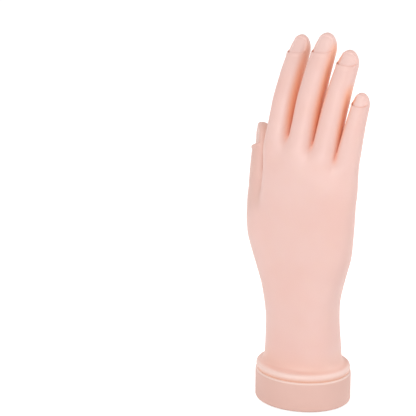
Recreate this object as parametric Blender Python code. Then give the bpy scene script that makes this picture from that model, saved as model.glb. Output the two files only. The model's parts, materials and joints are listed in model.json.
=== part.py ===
"""A soft practice hand for nail work, standing on a drum base and posed by wires inside its fingers.

The skin is parted at every bend, so each length of a finger turns on the bend below it.
Metres, +Z up. The back of the hand faces -Y and the thumb -X.
The origin is the middle of the foot pad's underside.
"""

import math
from typing import NamedTuple

import bmesh
import bpy
from mathutils import Matrix, Vector

MM = 0.001

# Clearances
SEAT_GAP = 0.3 * MM
KNUCKLE_GAP = 0.5 * MM
BEND_SPARE = 4.0

# Base
BASE_WIDTH = 63.5 * MM
BASE_DEPTH = 57.5 * MM
BASE_TOP = 20.2 * MM
BASE_WALL = 2.4 * MM
DECK_THICKNESS = 3.0 * MM
BASE_EDGE = 1.6 * MM
RIM_HEIGHT = 0.6 * MM
PAD_THICKNESS = 2.0 * MM
PAD_MARGIN = 3.0 * MM
PLATE_THICKNESS = 2.5 * MM
PLATE_SCREWS = 3
SCREW_CIRCLE = 18.0 * MM
SCREW_RADIUS = 1.5 * MM
SCREW_HEAD_RADIUS = 3.0 * MM
SCREW_LENGTH = 10.0 * MM
BOSS_RADIUS = 3.6 * MM
OVAL_SIDES = 36
EDGE_ANGLES = (0, 30, 60, 90)

# Bolt that pulls the wrist plug down on the base
BOLT_RADIUS = 3.0 * MM
BOLT_HEAD_RADIUS = 5.2 * MM
BOLT_HEAD_HEIGHT = 4.0 * MM
BOLT_GRIP = 13.0 * MM
WASHER_RADIUS = 7.5 * MM
WASHER_THICKNESS = 1.2 * MM
INSERT_RADIUS = 5.5 * MM
INSERT_LENGTH = 14.0 * MM

# Skin: heights are measured up from its foot
SKIN_FOOT = BASE_TOP + SEAT_GAP
SKIN_WALL = 3.5 * MM
FLANGE_INSET = 0.6 * MM
FLANGE_HEIGHT = 2.7 * MM
FLANGE_ROUND = 2.6 * MM
FLANGE_RISE = 2.0 * MM
FLANGE_ANGLES = (0, 30, 60, 85)
PALM_SIDES = 28
PALM_SQUARENESS = 2.4

# Armature
PLUG_HEIGHT = 34.0 * MM
ROD_RADIUS = 3.0 * MM
ROD_SEAT = 14.0 * MM
ROD_PLACE = (0.0, -5.4 * MM)
PIN_RADIUS = 1.5 * MM
PLUG_PIN_LENGTH = 36.0 * MM
BLOCK_LOW = 85.0 * MM
BLOCK_HIGH = 120.0 * MM
BLOCK_LEFT = -14.5 * MM
BLOCK_RIGHT = 20.5 * MM
BLOCK_THICKNESS = 8.6 * MM
CLAMP_THICKNESS = 5.0 * MM
WIRE_PLANE = -1.0 * MM
CLAMP_SCREW_RADIUS = 1.6 * MM
CLAMP_SCREW_HEAD = 3.0 * MM
CLAMP_SCREW_HEAD_HEIGHT = 2.0 * MM
CLAMP_SCREW_DEPTH = 7.0 * MM
CLAMP_SCREW_PLACES = ((-6.2 * MM, 106.0 * MM), (9.0 * MM, 91.0 * MM), (12.8 * MM, 106.0 * MM))
WIRE_RADIUS = 1.25 * MM
WIRE_END = 8.0 * MM
WIRE_STEP = 5.0 * MM
WIRE_SIDES = 6
WIRE_LEAD = 0.6

# Fingers
FINGER_SIDES = 16
TIP_ROUND = 7.0 * MM
TIP_ANGLES = (0, 25, 48, 68, 84)
NAIL_SINK = 1.4 * MM
NAIL_SLOT = 0.7 * MM
NAIL_SLOT_DEPTH = 2.4 * MM
NAIL_SLOT_STEP = 0.1 * MM
NAIL_SHARE = 0.78
NAIL_ARCH = 0.45
NAIL_STEPS = (-1, -0.5, 0, 0.5, 1)
ARC_STEP = 15.0

# Cutters reach well past the piece they cut
CLEAR = 120.0 * MM

# Round pieces
ROD_SIDES = 16
SCREW_SIDES = 12
PIN_SIDES = 10
SHARP_ANGLE = 35


class Section(NamedTuple):
    """One outline of palm or wrist: its height above the skin's foot, middle, half sizes and slope."""

    height: float
    x: float
    y: float
    half_width: float
    half_depth: float
    slope: float


class Finger(NamedTuple):
    """One finger. In degrees, fan leans it to the side, lift and curl to the palm, roll turns its nail."""

    name: str
    root: tuple
    fan: float
    lift: float
    roll: float
    curl: tuple
    lengths: tuple
    widths: tuple
    depths: tuple
    nail_length: float
    limits: tuple
    parts: tuple
    stub: tuple
    wire_start: tuple


def mm(*values):
    """Millimetres as a tuple of metres."""
    return tuple(value * MM for value in values)


WRIST_AND_PALM = (
    Section(*mm(9.0, 0, -0.1, 25.9, 20.2), 0),
    Section(*mm(13.5, 0, -0.3, 25.6, 19.4), 0),
    Section(*mm(34.5, -0.3, -1.0, 24.3, 18.0), 0),
    Section(*mm(48.5, -0.7, -1.6, 25.3, 17.6), 0),
    Section(*mm(62.5, -1.2, -1.0, 28.6, 17.0), 0),
    Section(*mm(78.0, 1.0, -1.0, 30.5, 16.4), 0),
    Section(*mm(101.5, 2.9, -2.0, 30.6, 15.0), 0),
    Section(*mm(128.5, 4.7, -3.5, 31.8, 13.0), -0.08),
    Section(*mm(138.5, 5.0, -2.6, 32.0, 11.2), -0.17),
    Section(*mm(143.5, 4.7, -2.0, 28.4, 8.4), -0.17),
)

# How far each bend turns from the pose shown, in degrees towards the palm
FINGER_LIMITS = ((-20, 55), (-15, 60), (-10, 40))
THUMB_LIMITS = ((-15, 30), (-10, 40))
FINGER_PARTS = ("proximal", "middle", "distal")
THUMB_PARTS = ("proximal", "distal")

# Below its root bend a finger runs on into the palm: depth down its line, then how far it has grown
FINGER_STUB = ((18.0 * MM, 0.0, 0.0, -0.6 * MM),)
# The ball of the thumb: depth below the root bend, shift to the side and to the palm, growth in radius
THUMB_STUB = (
    (12.5 * MM, 0.6 * MM, 1.0 * MM, 1.2 * MM),
    (30.0 * MM, 3.8 * MM, 5.1 * MM, 4.6 * MM),
    (44.0 * MM, 7.0 * MM, 9.0 * MM, 5.4 * MM),
    (58.0 * MM, 10.5 * MM, 13.0 * MM, 2.5 * MM),
)

FINGERS = (
    Finger("index", mm(-20.0, 0.4, 151.0), 0.5, 19, 0, (0, 8, 14), mm(24.5, 19, 25),
           mm(16.2, 16.2, 15.2, 14.0), mm(16.0, 15.0, 13.2, 11.8), mm(15.0)[0],
           FINGER_LIMITS, FINGER_PARTS, FINGER_STUB, mm(-10.5, 103)),
    Finger("middle", mm(-2.8, -1.0, 151.5), 2.0, 16, 0, (0, 9, 13), mm(25.5, 19, 25.5),
           mm(16.4, 16.6, 15.8, 14.6), mm(16.2, 15.4, 13.6, 12.2), mm(15.6)[0],
           FINGER_LIMITS, FINGER_PARTS, FINGER_STUB, mm(-2.0, 100)),
    Finger("ring", mm(14.2, -1.2, 148.0), 5.0, 15, 0, (0, 6, 11), mm(22.5, 18, 23),
           mm(15.4, 15.4, 14.8, 13.6), mm(15.6, 14.6, 13.0, 11.6), mm(13.4)[0],
           FINGER_LIMITS, FINGER_PARTS, FINGER_STUB, mm(8.0, 100)),
    Finger("little", mm(29.6, 0.0, 143.0), 7.0, 10, 0, (0, 3, 4), mm(12, 10.2, 19.8),
           mm(13.4, 12.8, 12.0, 11.0), mm(13.4, 12.4, 11.4, 10.2), mm(11.0)[0],
           FINGER_LIMITS, FINGER_PARTS, FINGER_STUB, mm(17.5, 103)),
    Finger("thumb", mm(-35.5, 7.0, 112.5), -11.5, 19, 48, (0, 0), mm(17.1, 26.4),
           mm(19.0, 18.2, 16.6), mm(18.4, 16.4, 13.0), mm(15.2)[0],
           THUMB_LIMITS, THUMB_PARTS, THUMB_STUB, mm(-4.0, 92)),
)


def clear_scene():
    """Starts from an empty scene."""
    for old in list(bpy.data.objects):
        bpy.data.objects.remove(old, do_unlink=True)


def material(name, colour, roughness, metallic=0.0):
    """A plain surface of one colour."""
    made = bpy.data.materials.new(name)
    made.use_nodes = True
    shader = made.node_tree.nodes["Principled BSDF"]
    shader.inputs["Base Color"].default_value = (*colour, 1.0)
    shader.inputs["Roughness"].default_value = roughness
    shader.inputs["Metallic"].default_value = metallic
    return made


def add_object(name, bm, surface, origin=Vector()):
    """An object from a mesh built in world places, with its own origin."""
    bmesh.ops.recalc_face_normals(bm, faces=bm.faces)
    bmesh.ops.translate(bm, vec=-origin, verts=bm.verts)
    mesh = bpy.data.meshes.new(name)
    bm.to_mesh(mesh)
    bm.free()
    mesh.shade_smooth()
    mesh.set_sharp_from_angle(angle=math.radians(SHARP_ANGLE))
    made = bpy.data.objects.new(name, mesh)
    made.location = origin
    bpy.context.collection.objects.link(made)
    if surface:
        mesh.materials.append(surface)
    else:
        made.hide_render = True
        made.display_type = 'WIRE'
    return made


def loft(rings):
    """A closed skin over a row of rings with as many points each."""
    bm = bmesh.new()
    rows = [[bm.verts.new(point) for point in ring] for ring in rings]
    for low, high in zip(rows, rows[1:]):
        for i in range(len(low)):
            j = (i + 1) % len(low)
            bm.faces.new((low[i], low[j], high[j], high[i]))
    bm.faces.new(rows[0])
    bm.faces.new(rows[-1])
    return bm


def prism(outline, run):
    """A flat outline carried along a vector."""
    return loft([outline, [point + run for point in outline]])


def oval_ring(half_width, half_depth, height, centre=(0.0, 0.0), sides=OVAL_SIDES, power=2.0, slope=0.0):
    """An oval at a height. A power above 2 squares it, and a slope tilts it to the side."""
    ring = []
    for i in range(sides):
        angle = 2 * math.pi * i / sides
        across = math.copysign(abs(math.cos(angle)) ** (2 / power), math.cos(angle)) * half_width
        along = math.copysign(abs(math.sin(angle)) ** (2 / power), math.sin(angle)) * half_depth
        ring.append(Vector((centre[0] + across, centre[1] + along, height + slope * across)))
    return ring


def rod(low, high, radius, place=(0.0, 0.0), sides=ROD_SIDES):
    """An upright cylinder between two heights."""
    return loft([oval_ring(radius, radius, height, place, sides) for height in (low, high)])


def turned(profile, place, sides=SCREW_SIDES):
    """Rings of (radius, height) about an upright axis."""
    return loft([oval_ring(radius, radius, height, place, sides) for radius, height in profile])


def cross_rod(start, end, radius):
    """A cylinder between two points."""
    bm = rod(0.0, (end - start).length, radius, sides=PIN_SIDES)
    turn = (end - start).to_track_quat('Z', 'Y').to_matrix().to_4x4()
    bmesh.ops.transform(bm, matrix=Matrix.Translation(start) @ turn, verts=bm.verts)
    return bm


def box(low, high):
    """A box between two corners."""
    outline = [Vector((x, y, low.z)) for x, y in
               ((low.x, low.y), (high.x, low.y), (high.x, high.y), (low.x, high.y))]
    return prism(outline, Vector((0, 0, high.z - low.z)))


def combine(target, tool, operation):
    """Adds or takes away another object's shape."""
    step = target.modifiers.new(tool.name, 'BOOLEAN')
    step.operation = operation
    step.object = tool
    step.solver = 'EXACT'


def cut(target, name, bm):
    """Takes a shape out of an object."""
    combine(target, add_object(name, bm, None), 'DIFFERENCE')


# Fingers: lines, joints and skins


def finger_axes(finger):
    """The finger's root direction, its palm side and the bend axis, all of length 1."""
    along = Vector((math.tan(math.radians(finger.fan)), math.tan(math.radians(finger.lift)), 1)).normalized()
    palm = (Vector((0, 1, 0)) - along * along.y).normalized()
    side = palm.cross(along)
    roll = math.radians(finger.roll)
    palm = palm * math.cos(roll) + side * math.sin(roll)
    return along, palm, palm.cross(along)


def finger_line(finger):
    """The bend centres with the tip after them, and each length's direction."""
    along, palm, _ = finger_axes(finger)
    points = [Vector(finger.root) + Vector((0, 0, SKIN_FOOT))]
    directions = []
    for length, curl in zip(finger.lengths, finger.curl):
        lean = math.radians(curl)
        directions.append(along * math.cos(lean) + palm * math.sin(lean))
        points.append(points[-1] + directions[-1] * length)
    return points, directions


def finger_ring(finger, centre, direction, half_width, half_depth):
    """One oval outline square to the finger."""
    side = finger_axes(finger)[2]
    palm = direction.cross(side)
    angles = [2 * math.pi * i / FINGER_SIDES for i in range(FINGER_SIDES)]
    return [centre + side * half_width * math.cos(a) + palm * half_depth * math.sin(a) for a in angles]


def finger_skin(finger):
    """The whole finger from its root bend to the round tip, starting a little below the bend."""
    points, directions = finger_line(finger)
    start = points[0] - directions[0] * finger.depths[0]
    rings = [finger_ring(finger, start, directions[0], finger.widths[0] / 2, finger.depths[0] / 2)]
    for i, direction in enumerate(directions):
        mean = (directions[max(i - 1, 0)] + direction).normalized()
        rings.append(finger_ring(finger, points[i], mean, finger.widths[i] / 2, finger.depths[i] / 2))
    half_width, half_depth = finger.widths[-1] / 2, finger.depths[-1] / 2
    for angle in TIP_ANGLES:
        turn = math.radians(angle)
        centre = points[-1] - directions[-1] * TIP_ROUND * (1 - math.sin(turn))
        rings.append(finger_ring(finger, centre, directions[-1],
                                 half_width * math.cos(turn), half_depth * math.cos(turn)))
    return loft(rings)


def finger_stub(finger):
    """What carries the root bend: the finger's line running on down into the palm."""
    points, directions = finger_line(finger)
    down = -directions[0]
    half_width, half_depth = finger.widths[0] / 2, finger.depths[0] / 2
    top = points[0] + directions[0] * finger.depths[0]
    rings = [finger_ring(finger, top, directions[0], half_width, half_depth),
             finger_ring(finger, points[0], directions[0], half_width, half_depth)]
    for depth, sideways, palmward, growth in finger.stub:
        centre = points[0] + down * depth + Vector((sideways, palmward, 0))
        rings.append(finger_ring(finger, centre, directions[0], half_width + growth, half_depth + growth))
    return loft(rings)


def arc(centre, along, across, radius, first, last):
    """Points on an arc. Angles in degrees run from across towards along."""
    count = max(1, math.ceil(abs(last - first) / ARC_STEP))
    angles = [math.radians(first + (last - first) * i / count) for i in range(count + 1)]
    return [centre + across * radius * math.cos(a) + along * radius * math.sin(a) for a in angles]


def crown_cutter(finger, bend):
    """What is taken off the lower length at a bend, leaving a half-round end."""
    points, directions = finger_line(finger)
    side = finger_axes(finger)[2]
    along = directions[max(bend - 1, 0)]
    across = along.cross(side)
    centre = points[bend]
    radius = finger.depths[bend] / 2
    outline = [centre - across * CLEAR + along * CLEAR, centre - across * CLEAR]
    outline += arc(centre, along, across, radius, 180, 0)
    outline += [centre + across * CLEAR, centre + across * CLEAR + along * CLEAR]
    reach = side * finger.widths[bend]
    return prism([point - reach for point in outline], 2 * reach)


def hollow_cutter(finger, bend):
    """What is taken off the upper length at a bend: a hollow for the round end, open for its travel."""
    points, directions = finger_line(finger)
    side = finger_axes(finger)[2]
    along = directions[bend]
    across = along.cross(side)
    centre = points[bend]
    radius = finger.depths[bend] / 2 + KNUCKLE_GAP
    bent = finger.curl[bend] - finger.curl[max(bend - 1, 0)]
    low, high = finger.limits[bend]
    palm_angle = high + bent + BEND_SPARE
    back_angle = 180 - max(-low - bent, 0) - BEND_SPARE
    far = CLEAR / radius
    curve = arc(centre, along, across, radius, back_angle, palm_angle)
    outline = [centre - across * CLEAR - along * CLEAR, centre + (curve[0] - centre) * far]
    outline += curve
    outline += [centre + (curve[-1] - centre) * far, centre + across * CLEAR - along * CLEAR]
    reach = side * finger.widths[bend]
    return prism([point - reach for point in outline], 2 * reach)


def nail_outline(finger, start, low, high, inset=0.0):
    """An arched band across the finger, between two heights above its line on the back."""
    _, directions = finger_line(finger)
    side = finger_axes(finger)[2]
    back = -directions[-1].cross(side)
    half = finger.widths[-1] / 2 * NAIL_SHARE - inset
    drop = half * NAIL_ARCH
    band = []
    for height, shares in ((low, NAIL_STEPS), (high, NAIL_STEPS[::-1])):
        band += [start + side * half * s + back * (height - drop * s * s) for s in shares]
    return band


def cut_nail(tip_skin, finger):
    """The nail bed, and the slot that runs on under the cuticle, a small step above the bed."""
    points, directions = finger_line(finger)
    bed = finger.depths[-1] / 2 - NAIL_SINK
    slot = bed + NAIL_SLOT_STEP
    cuticle = points[-1] - directions[-1] * finger.nail_length
    slot_start = cuticle - directions[-1] * NAIL_SLOT_DEPTH
    bed_outline = nail_outline(finger, cuticle, bed, bed + CLEAR)
    slot_outline = nail_outline(finger, slot_start, slot, slot + NAIL_SLOT, NAIL_SLOT_STEP)
    cut(tip_skin, finger.name + "_nail_bed", prism(bed_outline, directions[-1] * 2 * finger.nail_length))
    cut(tip_skin, finger.name + "_nail_slot", prism(slot_outline, directions[-1] * 2 * NAIL_SLOT_DEPTH))


# Wires


def wire_route(finger):
    """Points that the wire passes: its seat in the clamp, the bends, and short of the fingertip."""
    points, directions = finger_line(finger)
    x, height = finger.wire_start
    seat = Vector((x, WIRE_PLANE, SKIN_FOOT + height))
    end = points[-1] - directions[-1] * WIRE_END
    if finger.name == "thumb":
        leave = Vector((BLOCK_LEFT - 2 * WIRE_RADIUS, WIRE_PLANE, seat.z + WIRE_RADIUS))
    else:
        leave = Vector((x, WIRE_PLANE, SKIN_FOOT + BLOCK_HIGH + 2 * WIRE_RADIUS))
    below = points[0] - directions[0] * finger.depths[0] * WIRE_LEAD
    return [seat, leave, below, *points[:-1], end]


def smooth_route(points):
    """Points close together on a smooth curve through the given ones."""
    curve = []
    padded = [points[0] * 2 - points[1], *points, points[-1] * 2 - points[-2]]
    for before, start, end, after in zip(padded, padded[1:], padded[2:], padded[3:]):
        count = max(2, round((end - start).length / WIRE_STEP))
        for i in range(count):
            t = i / count
            curve.append(0.5 * (2 * start + (end - before) * t
                                + (2 * before - 5 * start + 4 * end - after) * t ** 2
                                + (3 * start - before - 3 * end + after) * t ** 3))
    return [*curve, points[-1]]


def wire_tube(finger, radius, overrun=0.0):
    """A tube of the wire's route, a little longer at both ends when it is a bore."""
    route = smooth_route(wire_route(finger))
    rings = []
    for i, point in enumerate(route):
        direction = (route[min(i + 1, len(route) - 1)] - route[max(i - 1, 0)]).normalized()
        turn = Vector((0, 0, 1)).rotation_difference(direction)
        end_shift = overrun * ((i == len(route) - 1) - (i == 0))
        rings.append([point + direction * end_shift + turn @ spoke
                      for spoke in oval_ring(radius, radius, 0.0, sides=WIRE_SIDES)])
    return loft(rings)


# Palm, wrist and their core


def skin_sections():
    """Every outline of the palm piece, from the foot flange up."""
    half_width = BASE_WIDTH / 2 - FLANGE_INSET
    half_depth = BASE_DEPTH / 2 - FLANGE_INSET
    sections = [Section(0.0, 0.0, 0.0, half_width, half_depth, 0.0)]
    for angle in FLANGE_ANGLES:
        turn = math.radians(angle)
        inset = FLANGE_ROUND * (1 - math.cos(turn))
        height = FLANGE_HEIGHT + FLANGE_RISE * math.sin(turn)
        sections.append(Section(height, 0.0, 0.0, half_width - inset, half_depth - inset, 0.0))
    return [*sections, *WRIST_AND_PALM]


def section_at(sections, height):
    """The outline at a height, between the listed ones."""
    for low, high in zip(sections, sections[1:]):
        if low.height <= height <= high.height:
            share = (height - low.height) / (high.height - low.height)
            return Section(*(a + (b - a) * share for a, b in zip(low, high)))
    return sections[-1]


def palm_loft(sections, inset=0.0):
    """A skin over palm outlines, drawn in all round by an inset."""
    rings = []
    for s in sections:
        power = PALM_SQUARENESS if s.height > WRIST_AND_PALM[1].height else 2.0
        rings.append(oval_ring(s.half_width - inset, s.half_depth - inset, SKIN_FOOT + s.height, (s.x, s.y),
                               PALM_SIDES, power, s.slope))
    return loft(rings)


def core_loft(low, high, inset, overrun=0.0):
    """The room inside the skin between two heights, run on below by an overrun."""
    sections = skin_sections()
    inner = [section_at(sections, low)]
    inner += [s for s in sections if low < s.height < high]
    inner.append(section_at(sections, high))
    if overrun:
        inner.insert(0, inner[0]._replace(height=low - overrun))
    return palm_loft(inner, inset)


CORE_HIGH = WRIST_AND_PALM[-3].height


def add_palm_skin(surface):
    """Palm, wrist and foot flange in one skin, with the knuckle ends and the ball of the thumb."""
    palm = add_object("palm_skin", palm_loft(skin_sections()), surface)
    for finger in FINGERS:
        stub = add_object(finger.name + "_stub", finger_stub(finger), None)
        cut(stub, finger.name + "_stub_crown", crown_cutter(finger, 0))
        combine(palm, stub, 'UNION')
    cut(palm, "palm_room", core_loft(0.0, CORE_HIGH, SKIN_WALL, SKIN_WALL))
    for finger in FINGERS:
        cut(palm, finger.name + "_palm_bore", wire_tube(finger, WIRE_RADIUS + SEAT_GAP))
    return palm


def add_fingers(surface, palm):
    """Every length of every finger, each with its origin on its own bend and carried by the length below."""
    for finger in FINGERS:
        points, _ = finger_line(finger)
        carrier, carrier_place = palm, Vector()
        for bend, part in enumerate(finger.parts):
            name = f"{finger.name}_{part}_skin"
            skin = add_object(name, finger_skin(finger), surface, points[bend])
            cut(skin, name + "_hollow", hollow_cutter(finger, bend))
            if bend + 1 < len(finger.parts):
                cut(skin, name + "_crown", crown_cutter(finger, bend + 1))
            else:
                cut_nail(skin, finger)
            cut(skin, name + "_bore", wire_tube(finger, WIRE_RADIUS + SEAT_GAP, SEAT_GAP))
            skin.parent = carrier
            skin.location = points[bend] - carrier_place
            carrier, carrier_place = skin, points[bend]


def add_wires(surface):
    """One bendable wire in each finger."""
    for finger in FINGERS:
        add_object(finger.name + "_wire", wire_tube(finger, WIRE_RADIUS), surface)


def rod_span():
    """The rod's lower and upper ends."""
    top_seat = SKIN_FOOT + BLOCK_LOW + ROD_SEAT
    return SKIN_FOOT + PLUG_HEIGHT - ROD_SEAT, top_seat


def cut_rod_seat(target, name):
    """Room for the rod."""
    low, high = rod_span()
    cut(target, name, rod(low - SEAT_GAP, high + SEAT_GAP, ROD_RADIUS + SEAT_GAP, ROD_PLACE))


def plug_pin_ends():
    """The pin across the plug, through the rod."""
    height = SKIN_FOOT + PLUG_HEIGHT - ROD_SEAT / 2
    half = Vector((PLUG_PIN_LENGTH / 2, 0, 0))
    middle = Vector((*ROD_PLACE, height))
    return middle - half, middle + half


def block_box(grow=0.0):
    """The block's corners, on the back side of the wires."""
    low = Vector((BLOCK_LEFT, WIRE_PLANE - SEAT_GAP / 2 - BLOCK_THICKNESS, SKIN_FOOT + BLOCK_LOW))
    high = Vector((BLOCK_RIGHT, WIRE_PLANE - SEAT_GAP / 2, SKIN_FOOT + BLOCK_HIGH))
    spare = Vector((grow, grow, grow))
    return low - spare, high + spare


def clamp_box(grow=0.0):
    """The clamp plate's corners, on the palm side of the wires."""
    low = Vector((BLOCK_LEFT, WIRE_PLANE + SEAT_GAP / 2, SKIN_FOOT + BLOCK_LOW))
    high = Vector((BLOCK_RIGHT, WIRE_PLANE + SEAT_GAP / 2 + CLAMP_THICKNESS, SKIN_FOOT + BLOCK_HIGH))
    spare = Vector((grow, grow, grow))
    return low - spare, high + spare


def block_pin_ends():
    """The pin through the block's back, into the rod."""
    low, high = block_box()
    height = SKIN_FOOT + BLOCK_LOW + ROD_SEAT / 2
    return [Vector((ROD_PLACE[0], y, height)) for y in (low.y + SEAT_GAP, high.y - SEAT_GAP)]


def clamp_screw(place, grow=0.0):
    """A pan-head screw from the palm side, through the clamp plate into the block."""
    x, height = place
    face = clamp_box()[1].y + SEAT_GAP
    z = SKIN_FOOT + height
    depth = face - CLAMP_THICKNESS - CLAMP_SCREW_DEPTH
    profile = ((CLAMP_SCREW_RADIUS + grow, depth - grow), (CLAMP_SCREW_RADIUS + grow, face - grow),
               (CLAMP_SCREW_HEAD + grow, face - grow),
               (CLAMP_SCREW_HEAD + grow, face + CLAMP_SCREW_HEAD_HEIGHT + grow))
    bm = turned(profile, (0.0, 0.0))
    turn = Matrix.Rotation(math.radians(-90), 4, 'X')
    bmesh.ops.transform(bm, matrix=Matrix.Translation((x, 0, z)) @ turn, verts=bm.verts)
    return bm


def cut_pin(target, name, ends, overrun):
    """Room for a pin, run on past both its ends."""
    start, end = ends
    more = (end - start).normalized() * overrun
    cut(target, name, cross_rod(start - more, end + more, PIN_RADIUS + SEAT_GAP))


def add_armature(plastic, steel, foam_surface):
    """The wires' block and clamp plate, the rod below them, and the foam round them."""
    block = add_object("armature_block", box(*block_box()), plastic)
    plate = add_object("clamp_plate", box(*clamp_box()), plastic)
    low, high = rod_span()
    shaft = add_object("wrist_rod", rod(low, high, ROD_RADIUS, ROD_PLACE), steel)
    filling = core_loft(PLUG_HEIGHT + SEAT_GAP, CORE_HIGH - SEAT_GAP, SKIN_WALL + SEAT_GAP)
    foam = add_object("palm_foam", filling, foam_surface)

    cut_rod_seat(block, "block_rod_seat")
    cut_rod_seat(foam, "foam_rod_bore")
    cut(foam, "foam_block_room", box(block_box(SEAT_GAP)[0], clamp_box(SEAT_GAP)[1]))
    for i, place in enumerate(CLAMP_SCREW_PLACES, 1):
        add_object(f"clamp_screw_{i}", clamp_screw(place), steel)
        for target in (block, plate, foam):
            cut(target, f"{target.name}_screw_room_{i}", clamp_screw(place, SEAT_GAP))
    for finger in FINGERS:
        for target in (block, plate, foam):
            bore = wire_tube(finger, WIRE_RADIUS + SEAT_GAP, SEAT_GAP)
            cut(target, f"{target.name}_{finger.name}_bore", bore)

    add_object("block_pin", cross_rod(*block_pin_ends(), PIN_RADIUS), steel)
    cut_pin(block, "block_pin_hole", block_pin_ends(), 2 * SEAT_GAP)
    cut_pin(shaft, "rod_upper_pin_hole", block_pin_ends(), 0.0)
    cut_pin(shaft, "rod_lower_pin_hole", plug_pin_ends(), 0.0)


def add_plug(plastic, steel, brass):
    """The wrist plug with the bolt that holds it, its threaded insert and the rod's cross pin."""
    plug = add_object("wrist_plug", core_loft(0.0, PLUG_HEIGHT, SKIN_WALL + SEAT_GAP), plastic)
    cut_rod_seat(plug, "plug_rod_seat")
    add_object("plug_pin", cross_rod(*plug_pin_ends(), PIN_RADIUS), steel)
    cut_pin(plug, "plug_pin_hole", plug_pin_ends(), CLEAR / 2)

    insert_top = SKIN_FOOT + INSERT_LENGTH
    insert = add_object("threaded_insert", rod(SKIN_FOOT, insert_top, INSERT_RADIUS), brass)
    cut(insert, "insert_bore", rod(SKIN_FOOT - CLEAR, insert_top + CLEAR, BOLT_RADIUS + SEAT_GAP))
    cut(plug, "plug_insert_seat", rod(SKIN_FOOT - CLEAR, insert_top + SEAT_GAP, INSERT_RADIUS + SEAT_GAP))

    washer_top = BASE_TOP - DECK_THICKNESS - SEAT_GAP
    washer_low = washer_top - WASHER_THICKNESS
    washer = add_object("bolt_washer", rod(washer_low, washer_top, WASHER_RADIUS), steel)
    cut(washer, "washer_bore", rod(washer_low - CLEAR, washer_top + CLEAR, BOLT_RADIUS + SEAT_GAP))
    head_top = washer_low - SEAT_GAP
    profile = ((BOLT_HEAD_RADIUS, head_top - BOLT_HEAD_HEIGHT), (BOLT_HEAD_RADIUS, head_top),
               (BOLT_RADIUS, head_top), (BOLT_RADIUS, SKIN_FOOT + BOLT_GRIP))
    add_object("base_bolt", turned(profile, (0.0, 0.0), ROD_SIDES), steel)


def base_oval(inset, height):
    """An outline of the base, drawn in all round by an inset."""
    return oval_ring(BASE_WIDTH / 2 - inset, BASE_DEPTH / 2 - inset, height)


def plate_screw_places():
    """The bottom plate's screws, evenly round the bolt."""
    turns = [2 * math.pi * i / PLATE_SCREWS for i in range(PLATE_SCREWS)]
    return [(SCREW_CIRCLE * math.cos(turn), SCREW_CIRCLE * math.sin(turn)) for turn in turns]


PLATE_LOW = PAD_THICKNESS + SEAT_GAP
PLATE_HIGH = PLATE_LOW + PLATE_THICKNESS


def plate_screw(place, grow=0.0):
    """A countersunk screw, flush with the plate's underside."""
    cone_top = PLATE_LOW + SCREW_HEAD_RADIUS - SCREW_RADIUS
    profile = ((SCREW_HEAD_RADIUS + grow, PLATE_LOW - 3 * grow), (SCREW_HEAD_RADIUS + grow, PLATE_LOW),
               (SCREW_RADIUS + grow, cone_top), (SCREW_RADIUS + grow, PLATE_LOW + SCREW_LENGTH + grow))
    if not grow:
        profile = profile[1:]
    return turned(profile, place)


def add_base(shell_surface, plate_surface, pad_surface, steel):
    """The drum, its bottom plate with screws, and the foot pad."""
    edge = [(BASE_EDGE * (1 - math.sin(math.radians(a))), BASE_EDGE * (1 - math.cos(math.radians(a))))
            for a in EDGE_ANGLES]
    rings = [base_oval(inset, RIM_HEIGHT + rise) for inset, rise in edge]
    rings += [base_oval(0.0, BASE_TOP - BASE_EDGE / 2), base_oval(BASE_EDGE / 4, BASE_TOP)]
    shell = add_object("base_drum", loft(rings), shell_surface)
    deck_low = BASE_TOP - DECK_THICKNESS
    room_rings = [base_oval(BASE_WALL, height) for height in (RIM_HEIGHT - CLEAR, deck_low)]
    cut(shell, "drum_room", loft(room_rings))
    cut(shell, "drum_bolt_hole", rod(deck_low - SEAT_GAP, BASE_TOP + CLEAR, BOLT_RADIUS + SEAT_GAP))

    plate_rings = [base_oval(BASE_WALL + SEAT_GAP, height) for height in (PLATE_LOW, PLATE_HIGH)]
    plate = add_object("bottom_plate", loft(plate_rings), plate_surface)
    for i, place in enumerate(plate_screw_places(), 1):
        pillar = rod(PLATE_HIGH + SEAT_GAP, deck_low + DECK_THICKNESS / 2, BOSS_RADIUS, place)
        boss = add_object(f"drum_boss_{i}", pillar, None)
        combine(shell, boss, 'UNION')
        cut(shell, f"drum_pilot_{i}", plate_screw(place, SEAT_GAP))
        cut(plate, f"plate_hole_{i}", plate_screw(place, SEAT_GAP))
        add_object(f"plate_screw_{i}", plate_screw(place), steel)

    pad_inset = BASE_WALL + PAD_MARGIN
    pad_rings = [base_oval(pad_inset, height) for height in (0.0, PAD_THICKNESS)]
    add_object("foot_pad", loft(pad_rings), pad_surface)


def build():
    """The whole hand."""
    clear_scene()
    skin = material("soft_vinyl_skin", (0.72, 0.42, 0.34), 0.48)
    drum = material("drum_plastic", (0.78, 0.60, 0.53), 0.55)
    plate = material("plate_plastic", (0.70, 0.56, 0.50), 0.6)
    pad = material("pad_rubber", (0.10, 0.10, 0.10), 0.8)
    plastic = material("core_plastic", (0.80, 0.78, 0.72), 0.5)
    foam = material("core_foam", (0.86, 0.80, 0.62), 0.9)
    aluminium = material("wire_aluminium", (0.80, 0.81, 0.83), 0.35, 1.0)
    steel = material("fastener_steel", (0.62, 0.63, 0.65), 0.3, 1.0)
    brass = material("insert_brass", (0.78, 0.61, 0.29), 0.3, 1.0)
    palm = add_palm_skin(skin)
    add_fingers(skin, palm)
    add_wires(aluminium)
    add_armature(plastic, steel, foam)
    add_plug(plastic, steel, brass)
    add_base(drum, plate, pad, steel)


build()
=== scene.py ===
"""The looks of a soft practice hand for nail work, on a drum base.

The palm, wrist and foot flange are one smooth skin, found as the zero surface of a distance field.
Each finger is a row of rings that starts at the palm's seam and crosses one bend per piece.
Lengths are millimetres unless a name says otherwise. Meshes are made in metres.
"""

import json
import math
from typing import NamedTuple

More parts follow.
